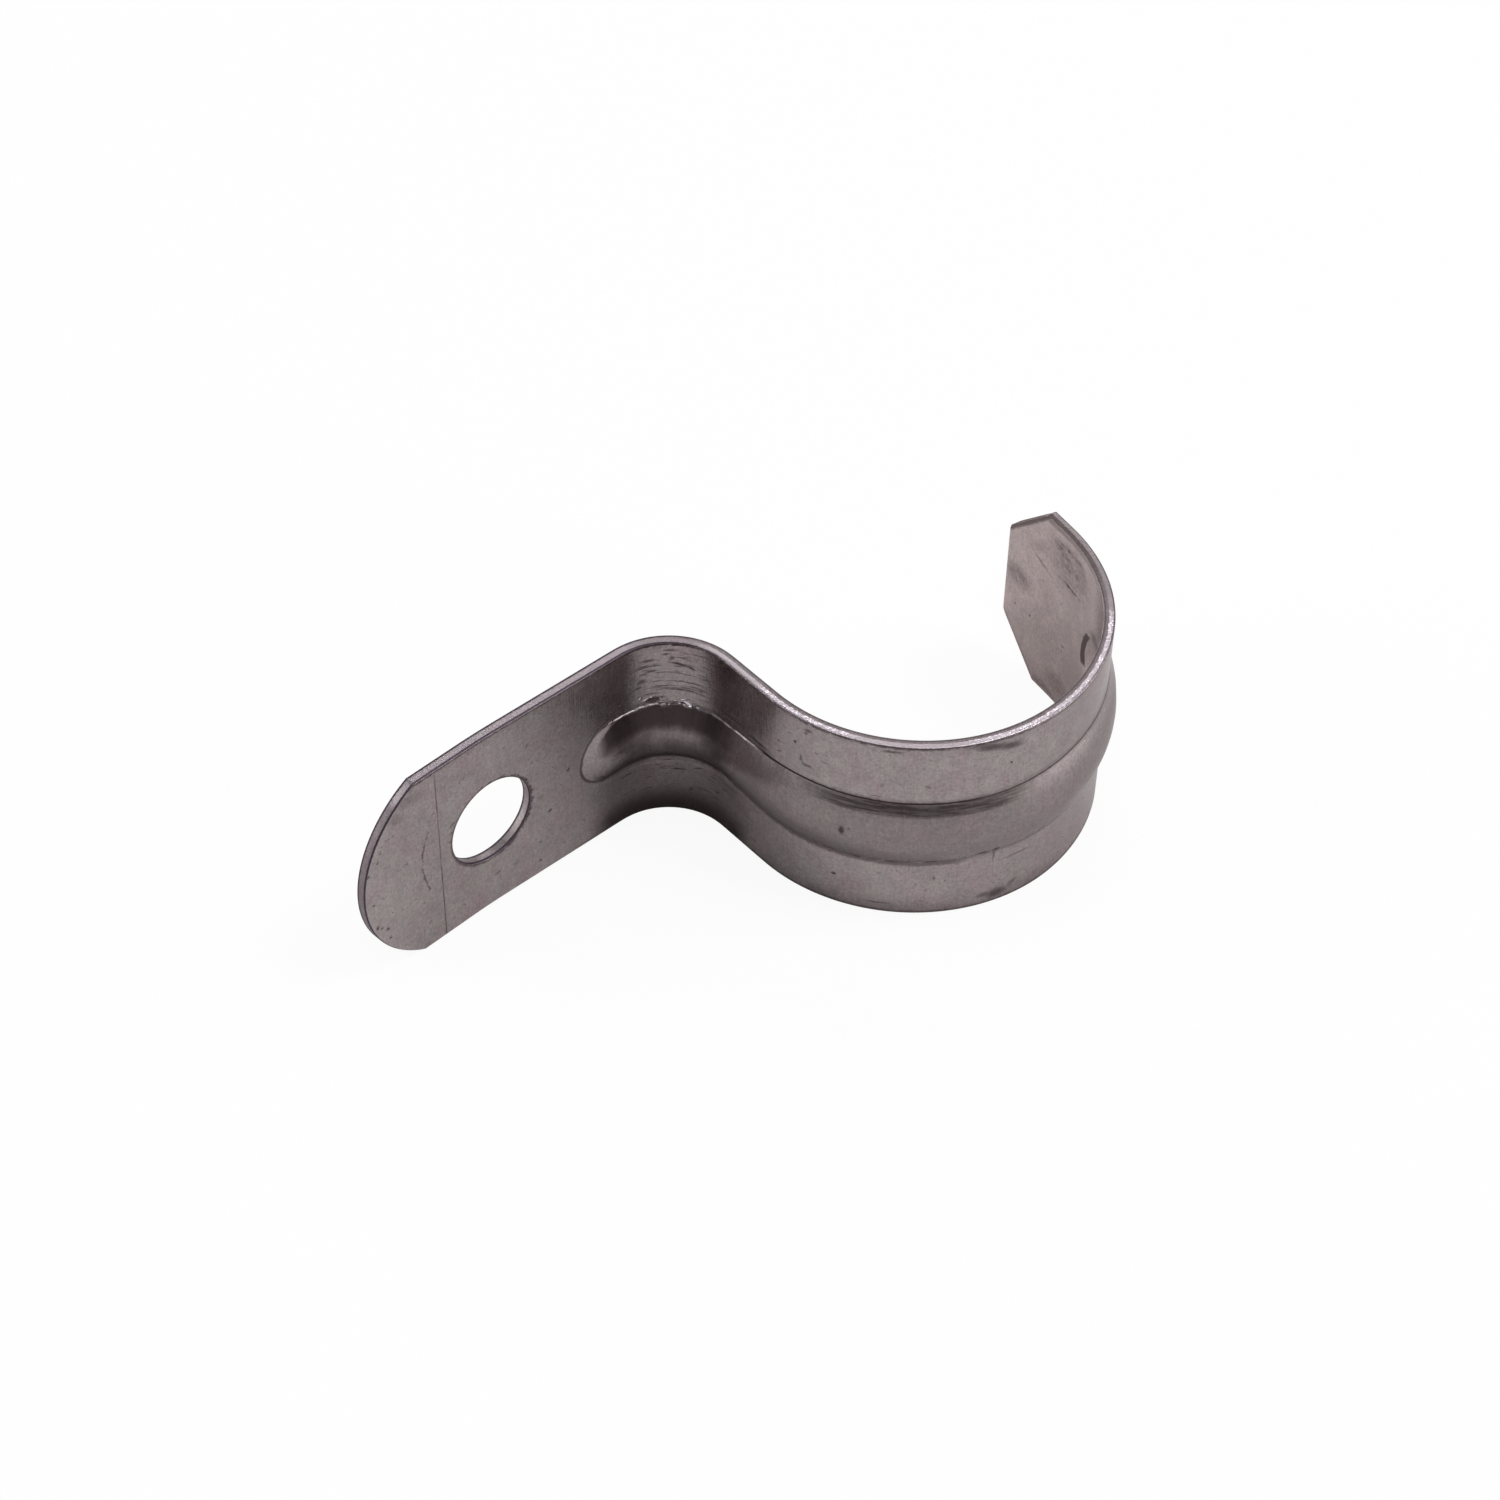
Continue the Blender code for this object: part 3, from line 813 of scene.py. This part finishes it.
# Smears on the hook, which a ragged noise breaks up
HOOK_SMEARS = (
    (84.6, 5.8, 310, 200, 0, 38), (85, 7.5, 210, 26, 0, 65), (84.6, 5.9, 150, 50, -10, 62),
    (86.2, 6.8, 130, 45, 20, 60), (84.4, 4.1, 210, 18, 0, 75), (91.6, 0.3, 160, 100, 0, 44),
    (85.4, -6.8, 140, 90, 0, 32), (87.3, -8.5, 150, 35, 0, 42), (82.9, 6.9, 90, 50, 40, 40),
    (88.8, 5.5, 160, 50, -30, 25), (88.6, 3.8, 130, 14, 20, 40), (86.2, -3.5, 320, 120, 0, 8),
)


def steel_material(finish):
    """Rolled and pressed sheet steel, drawn on the blank, in millimetres.

    Over the rolled grain lie slow patches of cooler steel and fine pits. Dirt and painted shade fill the
    rib's folds and the edges, and dirt lies in marks and streaks. Painted shade darkens the rib's flanks and
    crown, the bend's low side and the hole's rim. Crests and sheared walls are burnished, with a painted
    highlight along the crest and painted glints on the walls' land.
    """
    steel = Finish("pressed_steel")
    rise, band, grain = steel.rise, steel.band, steel.grain
    place = steel.carried(BLANK_PLACE).outputs["Vector"]
    axes = steel.add('ShaderNodeSeparateXYZ', {}, {"Vector": place}).outputs
    run, across, depth = (Value(steel, axis) for axis in axes)
    flat = steel.vector('MULTIPLY', place, (1, 1, 0))
    from_fold = Value(steel, steel.carried(FROM_FOLD).outputs["Fac"])

    # Where: outer face, inner face, sheared wall, the rib's upper side, the bend and the foot's wall
    outer = rise(depth, 0.4, 0.44)
    inner = rise(depth, -0.425, -0.445)
    wall = 1 - (outer | inner)
    upper = rise(across, -0.4, 0.4)
    bend = band(run, 25, 39.5, 1.5)
    foot_wall = rise(run, 36, 27)

    # Patterns
    rolled = grain(place, (0.1, 1.3, 0.3))
    fine = grain(place, (0.2, 0.22, 0.3), 3)
    cloud = grain(place, (1.5, 1.9, 2), 3)
    patch = grain(place, (2.6, 3.2, 3))
    speck = grain(place, (0.26, 0.22, 0.3), 0)
    drawn = grain(place, (1.9, 0.13, 0.3))
    rag = grain(place, (0.35, 0.28, 0.3), 3)
    fray = steel.joined(rag * 0.14, grain(place, (0.5, 0.22, 0.4)) * 0.08)
    frayed = steel.vector('ADD', flat, fray)
    pits = rise(speck, 0.8, 1.05) * rise(cloud, -0.5, 0.6)

    # Dirt and painted shade on the outer face
    listed = pits * 0.5
    for rows in (FOOT_MARKS, END_MARKS, BEND_MARKS, ARCH_MARKS):
        listed = steel.marks(frayed, rows, listed)
    # The rib's upper fold: a dark crease line, dirt and painted shade, a soft painted shade about it towards
    # the lip, the same dark line round the rib's start and just above the crest in the bend
    fold_line = band(from_fold + rag * 0.03, -0.05, 0.05, 0.07) * upper
    grime_and_shade = listed | fold_line * band(run, 40.5, 57, 3)
    grime_and_shade |= fold_line * band(run, 22.5, 24, 1) * 0.5
    grime_and_shade |= fold_line * band(run, 57, 79, 2) * 0.85
    crease_soft = band(from_fold, -0.15, 0.2, 0.35) * upper * band(run, 60, 76, 4)
    grime_and_shade |= crease_soft * 0.25
    outline = band(from_fold + rag * 0.04, 0.02, 0.16, 0.09) * rise(run, 24.5, 23)
    grime_and_shade |= outline * 0.75
    above_crest = band(from_fold + rag * 0.05, 0.12, 0.26, 0.1) * upper * band(run, 27, 40, 2)
    grime_and_shade |= above_crest * 0.38
    # The rib's lower fold: a dark line, dirt and painted shade, and in the bend a wider painted shade about
    # it
    low_fold = band(from_fold + rag * 0.08, -0.4, 0.12, 0.3) * (1 - upper)
    grime_and_shade |= low_fold * band(run, 23.8, 34.5, 1.5) * 0.85
    wide_fold = band(from_fold + rag * 0.1, -0.75, 0.35, 0.6) * (1 - upper)
    grime_and_shade |= wide_fold * band(run, 25.5, 32.5, 2.5) * 0.5
    grime_and_shade |= low_fold * band(run, 36, 55.5, 2) * 0.55
    # Painted dark reflection over the rib's upper flank in the bend
    flank_edge = from_fold + rise(run, 25.4, 23.2) * 0.6
    flank = rise(from_fold + rag * 0.15, -3.4, -1.5) * rise(flank_edge + rag * 0.05, 0.1, -0.22)
    flank = flank * upper * rise(run, 22.4, 24) * rise(run, 39.2, 34)
    grime_and_shade |= flank * 0.92
    # The rib a little darker inside its start
    start = rise(from_fold, -0.05, -0.3) * rise(run, 25.4, 23.2)
    grime_and_shade |= start * 0.12
    rub = band(from_fold + rag * 0.1, -0.85, -0.12, 0.6) * upper * band(run, 48, 58, 7)
    grime_and_shade |= rub * (0.45 + 0.4 * rise(drawn, -0.75, 0.5))
    # Painted shade under the rib's crown on the arch
    under = band(from_fold + rag * 0.08, -1.7, -0.55, 0.5) * (1 - upper) * band(run, 38, 54, 3)
    grime_and_shade |= under * 0.35
    # Painted contact shadow low in the bend, deepest towards the bottom edge
    low_bend = band(run + cloud * 0.5, 24.8, 36.6, 3) * rise(across + rag * 0.1, -3.2, -3.9)
    grime_and_shade |= low_bend * (0.38 + 0.54 * rise(across, -5.6, -8.4))
    # Painted shade over the rib in the bend, broken up by smudges of dirt
    rib_in_bend = band(across, -2.2, 2.2, 1.2) * band(run, 26.5, 35.5, 2)
    smudged = rise(cloud + rag * 0.5, -0.6, 0.7)
    grime_and_shade |= rib_in_bend * (0.38 + 0.28 * smudged)
    # Painted shade on the rib's crown past the bend, broken up by the same smudges
    crown = band(across, -1.6, 1.8, 1.6) * rise(run, 34, 40)
    grime_and_shade |= crown * (0.22 + 0.16 * smudged)
    streaks = rise(drawn + cloud * 0.3 + rag * 0.2, 0.1, 0.6) * band(across, 3.3, 8.3, 0.5)
    grime_and_shade |= (streaks * 0.6 + 0.1) * band(run, 27.2, 33, 1.2)
    low_streaks = rise(drawn + cloud * 0.3 + rag * 0.3, 0.2, 0.65) * band(across, -8.4, -3.4, 0.4)
    grime_and_shade |= low_streaks * band(run, 26.5, 38, 2.5) * 0.9
    rib_dirt = rise(rag + drawn * 0.5 + cloud * 0.3, 0.45, 0.95) * band(across, -3.6, 2.2, 0.8)
    grime_and_shade |= rib_dirt * band(run, 25, 46, 2.5) * 0.55
    # A ragged dark line under the top edge: dirt and a painted dark reflection of the rolled edge, darker on
    # the foot
    top_edge = rise(across + rag * 0.1, 8.62, 8.88)
    top_edge *= rise(rag + fine * 0.5, -1.1, 0.2) | foot_wall * 0.9
    grime_and_shade |= top_edge * (0.5 + 0.25 * band(run, 24, 66, 2) + 0.4 * foot_wall)
    # Darker towards the top edge, in mottled patches
    top_soft = rise(across + cloud * 0.2, 8.05, 8.85) * rise(cloud + rag * 0.6, -0.4, 0.9)
    grime_and_shade |= top_soft * band(run, 3, 60, 3) * (0.35 + 0.15 * foot_wall)
    # A dark line along the bottom edge: dirt and painted contact shade
    low_edge = rise(across + rag * 0.1, -8.35, -8.85) * band(run, 25, 74, 6)
    grime_and_shade |= low_edge * 0.7
    # Painted contact shade, soft, towards the bottom edge
    low_soft = rise(across + cloud * 0.3, -6.8, -9.2) * band(run, 34, 64, 5)
    grime_and_shade |= low_soft * 0.32
    washer = steel.vector('DISTANCE', frayed, (12.6, 0, 0))
    # A dark ragged ring at the hole's rim, painted shade of its rolled-over rim
    grime_and_shade |= rise(washer + rag * 0.16, 4.26, 3.93) * 0.85
    washer_arc = band(washer, 6.9, 7, 0.1) * band(across, -2.9, 3.3, 0.5)
    washer_arc = washer_arc * rise(run, 12, 10) * rise(grain(place, (0.9, 0.7, 1)), -0.4, 0.2)
    grime_and_shade |= washer_arc * 0.7
    scratch = band(run + across * (0.2 / 17.3) + rag * 0.015, 7.42, 7.49, 0.05)
    grime_and_shade |= scratch * rise(cloud + rag * 0.5, -1.2, 0.2) * 0.7

    # Rubbed metal on the outer face, with a painted highlight along the crest and a painted glint on the
    # lower fold in the bend
    crest = band(from_fold + rag * 0.03, -0.09, -0.06, 0.035) * upper * band(run, 25.8, 39.4, 1.2)
    crest_bright = band(run, 27.2, 28.6, 1.2) | band(run, 36.6, 39, 1)
    crest *= 0.22 + 0.2 * crest_bright
    torn_place = steel.oval(flat, (29.6, 2.85), (2.1, 0.75), 0, 0.4)
    torn = torn_place * rise(rag + fine * 0.5, 0.35, 0.75)
    torn_dark = torn_place * rise(rag + fine * 0.3, 0, -0.5)
    torn_pit = steel.oval(frayed, (28.7, 3.05), (0.45, 0.28))
    torn = steel.marks(flat, FLAKES, torn)
    rubbed_and_highlights = crest | torn
    # A painted glint on the lower fold in the bend
    low_glint = band(from_fold, 0.12, 0.2, 0.06) * (1 - upper) * band(run, 28.5, 36, 0.8)
    rubbed_and_highlights |= low_glint * 0.5
    dashes = band(from_fold, -0.36, -0.22, 0.07) * (1 - upper) * band(run, 44.5, 54, 0.6)
    dashes *= rise(grain(place, (0.7, 0.3, 0.4)), 0.1, 0.5)
    rubbed_and_highlights |= dashes * 0.85
    scuffs = rise(drawn, 0.55, 0.95) * band(from_fold, -3.6, -0.6, 0.4)
    rubbed_and_highlights |= scuffs * band(run, 40, 72, 3) * 0.16

    # Inner face
    hook = rise(run, 76, 84)
    inner_grime_and_shade = steel.marks(frayed, HOOK_SPECKS, pits * 0.3)
    smeared = rise(rag * 0.8 + cloud * 0.6 + drawn * 0.5, -1, 0.5) * 1.2
    inner_grime_and_shade |= steel.marks(frayed, HOOK_SMEARS, pits * 0.1) * smeared
    # Painted shade in the groove's end on the inner face
    groove_end = band(from_fold + rag * 0.06, -0.36, 0.12, 0.12) * rise(run, 80.3, 80.8)
    inner_grime_and_shade |= groove_end * band(across + rag * 0.1, -1.2, 2, 0.4) * 0.85
    corner = run * 0.691 + abs(across) * 0.723
    inner_grime_and_shade |= rise(corner + rag * 0.1, 67.2, 67.48) * (0.25 + upper * 0.5)
    hook_edge = rise(across + rag * 0.06, 8.33, 8.6) * hook
    inner_grime_and_shade |= hook_edge * 0.4
    inner_rubbed = rise(drawn, 0.7, 1.1) * 0.12

    # Sheared wall: a dark line at the inner side, dull broken metal, then a burnished land with painted
    # glints, brightest along two stretches of the arch; a painted dark reflection at the outer rounding, and
    # the foot's wall darker all over
    tooth = grain(place, (0.19, 0.19, 0.16), 3)
    long_tooth = grain(place, (1.1, 1.1, 0.14))
    broken = rise(depth + tooth * 0.05, 0.04, -0.12)
    wall_dark = rise(depth + tooth * 0.04, -0.21, -0.33)
    wall_grime_and_shade = broken * (0.14 + 0.38 * hook + 0.22 * rise(tooth, 0, 0.9)) * (1 - foot_wall * 0.8)
    wall_grime_and_shade = wall_dark * (0.55 + 0.3 * foot_wall) | wall_grime_and_shade | foot_wall * 0.1
    # A painted dark reflection along the wall's outer rounding
    front_line = rise(depth + tooth * 0.03 + foot_wall * 0.12, 0.34, 0.42)
    wall_grime_and_shade |= front_line * 0.9
    foot_end = rise(run, 4.2, 3.2)
    wall_grime_and_shade |= foot_end * 0.42
    hole_wall = rise(washer, 4.4, 4.1)
    # Runs where the land's painted glints are brightest
    brightest = band(run, 40, 47, 2) | band(run, 58, 77.5, 3)
    land = band(depth + tooth * 0.06, -0.02, 0.38, 0.05)
    land |= band(depth + tooth * 0.06, -0.26, 0.22, 0.05) * foot_wall
    dull = rise(run, 75.4, 77) | (foot_end | hole_wall)
    dull |= band(run, 28.3, 31.5, 2) * 0.9
    # Painted glints: the land's colour lit in flecks
    sparkle = rise(tooth + long_tooth * 0.4 + brightest * 0.65 - foot_wall * 0.4, 0.2, 1.25)
    wall_burnish_and_glints = land * (sparkle | 0.36 - 0.1 * foot_wall + 0.12 * brightest) * (1 - dull * 0.75)
    chamfer = rise(run, 88.5, 89.2) * rise(abs(across), 4.2, 4.8)
    wall_grime_and_shade |= chamfer * 0.8

    # Dirt and painted shade, and burnished metal with its painted highlights and glints, on each face
    dirt_and_shade = grime_and_shade * outer | inner_grime_and_shade * inner | wall_grime_and_shade * wall
    bright = rubbed_and_highlights * outer | inner_rubbed * inner | wall_burnish_and_glints * wall
    bright *= 1 - torn_pit * outer * 0.7
    dirt_and_shade = dirt_and_shade * (1 - crest * outer) | (torn_pit | torn_dark) * outer * 0.85

    # Tone from the grain and patches, and painted light that makes the hook's inner face lighter
    shade = 1 + rolled * 0.1 + fine * 0.26 + rag * 0.07 + cloud * 0.15 + patch * 0.05 + hook * inner * 0.11
    metal = steel.mix(rise(patch + cloud * 0.5, -0.9, 0.9), finish.steel, finish.cool_steel)
    metal = steel.mix(inner * 0.8, metal, finish.inner_steel)
    metal = steel.tint(metal, shade)
    metal = steel.mix(bright, metal, finish.burnished)
    metal = steel.mix(dirt_and_shade, metal, steel.mix(wall * (1 - hook), finish.grime_and_shade, finish.edge_grime))
    gloss = finish.roughness + rolled * 0.02 + cloud * 0.02 + dirt_and_shade * 0.22 - bright * 0.06
    gloss += wall * (0.2 - bright * 0.2)

    # Relief, in millimetres
    waves = grain(place, (7, 6, 40), 0) * (finish.waviness / MM)
    relief = waves + (rolled + fine * 0.6) * (finish.grain_height / MM)
    relief -= pits * 0.006
    relief = relief + torn * outer * 0.05 - torn_pit * outer * 0.08 + drawn * bend * outer * 0.003
    relief = relief + tooth * wall * 0.012 - wall_dark * wall * 0.01
    bump = steel.add('ShaderNodeBump', {}, {"Strength": 1, "Distance": MM, "Height": relief})
    steel.fill(steel.shader, {
        "Base Color": metal, "Metallic": 1, "Roughness": gloss, "Normal": bump.outputs["Normal"],
        "Specular Tint": (*finish.grazing, 1),
    })
    return steel.material


# How much of the bare white the camera sees in place of the floor's own light and shade, and the
# distances from the middle over which it grows to the whole
FLOOR_WHITE_SHARE = 0.92
FLOOR_WHITENS = (0.1, 0.3)


def floor_material(look):
    """Plain white floor: the camera and mirroring metal see it white, and it keeps a soft shadow."""
    floor = Finish("floor")
    rays = floor.add('ShaderNodeLightPath', {}, {}).outputs
    seen, mirrored = Value(floor, rays["Is Camera Ray"]), Value(floor, rays["Is Glossy Ray"])
    away = floor.vector('LENGTH', floor.add('ShaderNodeTexCoord', {}, {}).outputs["Object"])
    paint = floor.mix(seen | mirrored, look.floor_colour, WHITE[:3])
    floor.fill(floor.shader, {"Base Color": paint, "Roughness": 1, "Specular IOR Level": 0})
    white = floor.add('ShaderNodeEmission', {}, {"Color": WHITE, "Strength": 1})
    share = seen * (floor.rise(away, *FLOOR_WHITENS) | FLOOR_WHITE_SHARE)
    shaders = {0: share, 1: floor.shader.outputs["BSDF"], 2: white.outputs["Emission"]}
    blend = floor.add('ShaderNodeMixShader', {}, shaders)
    floor.fill(floor.tree.nodes["Material Output"], {"Surface": blend.outputs["Shader"]})
    return floor.material


def studio_world(look):
    """World that the camera sees white, with a dim even room light for everything else."""
    world = bpy.data.worlds.new("studio")
    world.use_nodes = True
    tree = world.node_tree
    background = tree.nodes["Background"]
    background.inputs["Color"].default_value = WHITE
    seen = tree.nodes.new('ShaderNodeLightPath')
    strength = tree.nodes.new('ShaderNodeMapRange')
    strength.inputs["To Min"].default_value = look.room_light
    strength.inputs["To Max"].default_value = 1.0
    tree.links.new(seen.outputs["Is Camera Ray"], strength.inputs["Value"])
    tree.links.new(strength.outputs["Result"], background.inputs["Strength"])
    return world


# The camera's sensor in millimetres, and the nearest that it sees in metres
SENSOR_WIDTH = 36.0
NEAREST_SEEN = 0.01

# Soft lamps: azimuth and elevation in degrees, width and height in metres, and brightness as seen
LAMP_DISTANCE = 1.0
LAMPS = (
    ("key", 315, 58, 0.4, 0.38, 6.8),
    ("low_right", 315, 6, 0.78, 0.21, 14),
    ("over", 225, 60, 0.39, 0.35, 3),
    ("behind", 45, 40, 0.6, 0.36, 2),
    ("left", 140, 33, 0.7, 0.6, 1.6),
    ("back", 75, 6, 0.9, 0.21, 8),
    ("back_side", 135, 6, 0.7, 0.21, 4),
    ("top", 0, 90, 0.62, 0.62, 2),
)


def hang_lamp(name, azimuth, elevation, width, height, brightness):
    """Area lamp that faces the object. Its power is brightness times area times pi."""
    data = bpy.data.lights.new(name, 'AREA')
    data.shape = 'RECTANGLE'
    data.size, data.size_y = width, height
    data.energy = brightness * width * height * math.pi
    lamp = bpy.data.objects.new(name, data)
    turn, lift = math.radians(azimuth), math.radians(elevation)
    towards = Vector((math.cos(lift) * math.cos(turn), math.cos(lift) * math.sin(turn), math.sin(lift)))
    facing = towards.to_track_quat('Z', 'Y').to_matrix().to_4x4()
    lamp.matrix_world = Matrix.Translation(towards * LAMP_DISTANCE) @ facing
    lamp.visible_camera = False
    bpy.context.scene.collection.objects.link(lamp)


def place_camera(look):
    """Camera that looks at its aim from its azimuth, elevation and distance."""
    data = bpy.data.cameras.new("camera")
    data.sensor_width = SENSOR_WIDTH
    data.lens = look.lens
    data.clip_start = NEAREST_SEEN
    camera = bpy.data.objects.new("camera", data)
    turn = (
        Matrix.Rotation(look.view_azimuth, 4, 'Z')
        @ Matrix.Rotation(math.pi / 2 - look.view_elevation, 4, 'X')
        @ Matrix.Rotation(look.view_roll, 4, 'Z')
    )
    back = turn.to_3x3() @ Vector((0.0, 0.0, look.view_distance))
    camera.matrix_world = Matrix.Translation(Vector(look.view_aim) + back) @ turn
    bpy.context.scene.collection.objects.link(camera)
    bpy.context.scene.camera = camera


class CLAMP_OT_press_strap(bpy.types.Operator):
    """Work out the strap's blank, press and bend it, and give it its steel"""

    bl_idname = "clamp.press_strap"
    bl_label = "Press the strap"

    def execute(self, context):
        strip = Strip(context.scene.clamp_sizes)
        place, quads = strap_surface(strip)
        points = strip.bend(place)
        if 2 * len(quads) > MOST_TRIANGLES:
            raise RuntimeError("the strap has too many faces: make its lanes or stations wider")
        if enclosed_volume(points, quads) <= 0:
            raise RuntimeError("the strap's faces point inwards")
        mesh = mesh_from("steel_strap", points, quads)
        on_blank = mesh.attributes.new(BLANK_PLACE, 'FLOAT_VECTOR', 'POINT')
        on_blank.data.foreach_set("vector", (place / MM).astype(np.float32).ravel())
        from_fold = mesh.attributes.new(FROM_FOLD, 'FLOAT', 'POINT')
        away = strip.from_fold(place[:, 0], place[:, 1]) / MM
        from_fold.data.foreach_set("value", away.astype(np.float32))
        mesh.materials.append(steel_material(context.scene.clamp_finish))
        strap = show("steel_strap", mesh)
        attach(strap, "root")
        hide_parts(CAD_STRAP)
        return {'FINISHED'}


class CLAMP_OT_set_stage(bpy.types.Operator):
    """Lay the plain floor, hang the soft lamps and place the camera"""

    bl_idname = "clamp.set_stage"
    bl_label = "Set the stage"

    def execute(self, context):
        look = context.scene.clamp_stage
        half = look.floor_size / 2
        corners = np.array([(-half, -half, 0.0), (half, -half, 0.0), (half, half, 0.0), (-half, half, 0.0)])
        floor = show("floor", mesh_from("floor", corners, np.array([[0, 1, 2, 3]])))
        floor.data.materials.append(floor_material(look))
        for name, azimuth, elevation, width, height, brightness in LAMPS:
            hang_lamp(name, azimuth, elevation, width, height, brightness * look.light_level)
        context.scene.world = studio_world(look)
        context.scene.view_settings.view_transform = 'Standard'
        place_camera(look)
        return {'FINISHED'}


class CLAMP_PT_panel(bpy.types.Panel):
    """Sidebar panel with the strap's sizes and finish, the stage and their operators"""

    bl_idname = "CLAMP_PT_panel"
    bl_label = "Conduit clamp"
    bl_space_type = 'VIEW_3D'
    bl_region_type = 'UI'
    bl_category = "Conduit clamp"

    def draw(self, context):
        scene = context.scene
        parts = (
            (scene.clamp_sizes, None),
            (scene.clamp_finish, CLAMP_OT_press_strap),
            (scene.clamp_stage, CLAMP_OT_set_stage),
        )
        for group, operator in parts:
            box = self.layout.box()
            for name in group.bl_rna.properties.keys():
                if name not in {"rna_type", "name"}:
                    box.prop(group, name)
            if operator:
                box.operator(operator.bl_idname)


CLASSES = (StrapSizes, SteelFinish, StageLook, CLAMP_OT_press_strap, CLAMP_OT_set_stage, CLAMP_PT_panel)
GROUPS = {"clamp_sizes": StrapSizes, "clamp_finish": SteelFinish, "clamp_stage": StageLook}


def register():
    for kind in CLASSES:
        bpy.utils.register_class(kind)
    for name, group in GROUPS.items():
        setattr(bpy.types.Scene, name, PointerProperty(type=group))


def unregister():
    for name in GROUPS:
        delattr(bpy.types.Scene, name)
    for kind in reversed(CLASSES):
        bpy.utils.unregister_class(kind)


def main():
    register()
    bpy.ops.clamp.press_strap()
    bpy.ops.clamp.set_stage()


if __name__ == "__main__":
    main()
